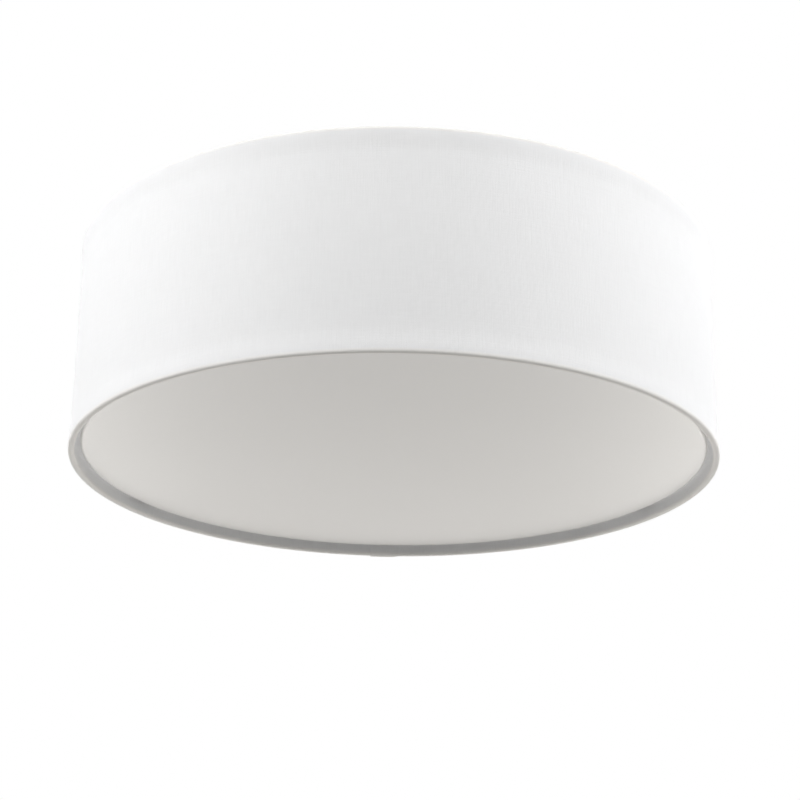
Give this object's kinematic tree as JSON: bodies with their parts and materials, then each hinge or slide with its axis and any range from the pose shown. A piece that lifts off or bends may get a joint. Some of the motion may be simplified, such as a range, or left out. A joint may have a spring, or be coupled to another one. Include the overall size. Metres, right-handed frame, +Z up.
{
  "type": "flush mount ceiling light",
  "caption": "Round drum ceiling light that sits flat on a ceiling: a white cloth shade with a recessed opal disc in its mouth, over a round LED unit in a steel pan.",
  "frame": {"origin": "middle of the face that lies against the ceiling", "axes": "+Z up into the ceiling, along the drum's axis; the light hangs to z = -100 mm; the ceiling pan's screw slots lie along X and the shade's lap seam is at the back, +Y"},
  "size_m": [0.3, 0.3002, 0.1],
  "materials": {
    "pan_paint": "white powder coat, satin",
    "grommet_rubber": "matte",
    "zinc_steel": "zinc plated",
    "ring_paint": "white powder coat",
    "nickel": "nickel plated brass, satin",
    "magnet_nickel": "nickel plated",
    "shade_cloth": "fine plain weave, matte",
    "shade_liner": "white, satin",
    "opal": "opal, fine matte",
    "board_white": "white solder mask",
    "led_yellow": "phosphor gel",
    "connector_plastic": "white",
    "driver_plastic": "white, fine texture",
    "circuit_board": "green solder mask",
    "block_plastic": "natural polyamide",
    "brass": "bright",
    "tinned_brass": "tin plated",
    "lead_brown": "smooth sheath",
    "lead_blue": "smooth sheath",
    "lead_green_yellow": "green with a yellow stripe",
    "lead_red": "smooth sheath",
    "lead_black": "smooth sheath"
  },
  "bodies": {
    "ceiling_pan": {"ceiling_pan": "pan_paint", "cable_grommet": "grommet_rubber", "shade_stud_1": "zinc_steel", "shade_stud_2": "zinc_steel", "shade_stud_3": "zinc_steel", "led_board": "board_white", "led_chips": "led_yellow", "board_screws": "zinc_steel", "board_connector": "connector_plastic", "driver_base": "driver_plastic", "driver_cover": "driver_plastic", "driver_board": "circuit_board", "driver_screws": "zinc_steel", "terminal_block": "block_plastic", "terminal_clamps": "brass", "terminal_screws": "zinc_steel", "block_screw": "zinc_steel", "earth_screw": "brass", "earth_tag": "tinned_brass", "lead_live": "lead_brown", "lead_neutral": "lead_blue", "lead_earth": "lead_green_yellow", "lead_led_positive": "lead_red", "lead_led_negative": "lead_black"},
    "shade": {"shade_cloth": "shade_cloth", "shade_liner": "shade_liner", "top_ring": "ring_paint", "bottom_ring": "ring_paint", "strap_1": "zinc_steel", "strap_2": "zinc_steel", "strap_3": "zinc_steel", "diffuser_tab_1": "ring_paint", "diffuser_tab_2": "ring_paint", "diffuser_tab_3": "ring_paint", "magnet_cup_1": "zinc_steel", "magnet_cup_2": "zinc_steel", "magnet_cup_3": "zinc_steel", "magnet_1": "magnet_nickel", "magnet_2": "magnet_nickel", "magnet_3": "magnet_nickel"},
    "diffuser": {"diffuser_disc": "opal", "strike_plate_1": "zinc_steel", "strike_plate_2": "zinc_steel", "strike_plate_3": "zinc_steel"},
    "washer_1": {"washer_1": "zinc_steel"},
    "nut_1": {"knurled_nut_1": "nickel"},
    "washer_2": {"washer_2": "zinc_steel"},
    "nut_2": {"knurled_nut_2": "nickel"},
    "washer_3": {"washer_3": "zinc_steel"},
    "nut_3": {"knurled_nut_3": "nickel"}
  },
  "joints": [
    {"name": "shade_drop", "type": "slide", "parent": "ceiling_pan", "child": "shade", "axis": [0, 0, -1], "range_m": [0, 0.08]},
    {"name": "diffuser_pull", "type": "slide", "parent": "shade", "child": "diffuser", "axis": [0, 0, -1], "range_m": [0, 0.06]},
    {"name": "nut_1_run", "type": "slide", "parent": "shade", "child": "washer_1", "axis": [0, 0, -1], "range_m": [0, 0.0105]},
    {"name": "nut_1_turn", "type": "hinge", "parent": "washer_1", "child": "nut_1", "pos_m": [0.09266, 0.0535, -0.01745], "axis": [0, 0, -1], "range_deg": [0, 5401]},
    {"name": "nut_2_run", "type": "slide", "parent": "shade", "child": "washer_2", "axis": [0, 0, -1], "range_m": [0, 0.0105]},
    {"name": "nut_2_turn", "type": "hinge", "parent": "washer_2", "child": "nut_2", "pos_m": [-0.09266, 0.0535, -0.01745], "axis": [0, 0, -1], "range_deg": [0, 5401]},
    {"name": "nut_3_run", "type": "slide", "parent": "shade", "child": "washer_3", "axis": [0, 0, -1], "range_m": [0, 0.0105]},
    {"name": "nut_3_turn", "type": "hinge", "parent": "washer_3", "child": "nut_3", "pos_m": [0, -0.107, -0.01745], "axis": [0, 0, -1], "range_deg": [0, 5401]}
  ],
  "couplings": [
    {"joint": "nut_1_turn", "follows": "nut_1_run", "rad_per_m": 8976},
    {"joint": "nut_2_turn", "follows": "nut_2_run", "rad_per_m": 8976},
    {"joint": "nut_3_turn", "follows": "nut_3_run", "rad_per_m": 8976}
  ]
}
